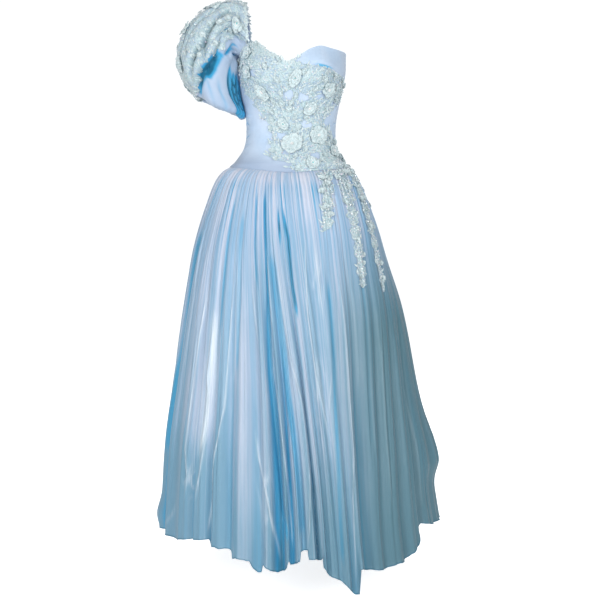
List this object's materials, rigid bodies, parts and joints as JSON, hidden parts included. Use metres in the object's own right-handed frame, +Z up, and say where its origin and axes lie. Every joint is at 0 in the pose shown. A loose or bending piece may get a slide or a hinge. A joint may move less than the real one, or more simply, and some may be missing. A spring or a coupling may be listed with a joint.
{
  "type": "beaded one-shoulder ball gown",
  "caption": "Ice-blue ball gown in its worn shape: boned satin bodice with beaded floral lace, puff sleeve on one shoulder and a long gathered organza skirt",
  "frame": {"origin": "centre of the body at the waist, the narrowest level of the bodice, where the wearer holds the gown up", "axes": "+Z up; the front of the gown faces -Y; +X is the wearer's left, so the sleeve is on -X"},
  "size_m": [0.7723, 0.7526, 1.5159],
  "materials": {
    "satin": "ice-blue satin with a soft sheen",
    "organza": "shot blue organza, crisp and slightly iridescent",
    "lace": "pale grey-green lace ground with seed beads",
    "beads": "raised lace petals with pearls, sequins and crystals"
  },
  "bodies": {
    "root": {"bodice_back_right": "satin", "bodice_front_side_right": "satin", "bodice_front_centre": "satin", "bodice_front_side_left": "satin", "bodice_back_left": "satin", "sleeve_puff": "satin", "skirt_back_right": "organza", "skirt_front_right": "organza", "skirt_front_left": "organza", "skirt_back_left": "organza", "bodice_lace": "lace", "sleeve_lace": "lace", "skirt_lace_front": "lace", "skirt_lace_middle": "lace", "skirt_lace_side": "lace", "skirt_lace_hip": "lace", "bodice_flower_1": "beads", "bodice_flower_2": "beads", "bodice_flower_3": "beads", "bodice_flower_4": "beads", "bodice_flower_5": "beads", "bodice_flower_6": "beads", "bodice_flower_7": "beads", "bodice_flower_8": "beads", "bodice_flower_9": "beads", "bodice_flower_10": "beads", "bodice_flower_11": "beads", "bodice_flower_12": "beads", "sleeve_flower_1": "beads", "sleeve_flower_2": "beads", "sleeve_flower_3": "beads", "sleeve_flower_4": "beads", "sleeve_flower_5": "beads", "sleeve_flower_6": "beads"}
  },
  "joints": []
}
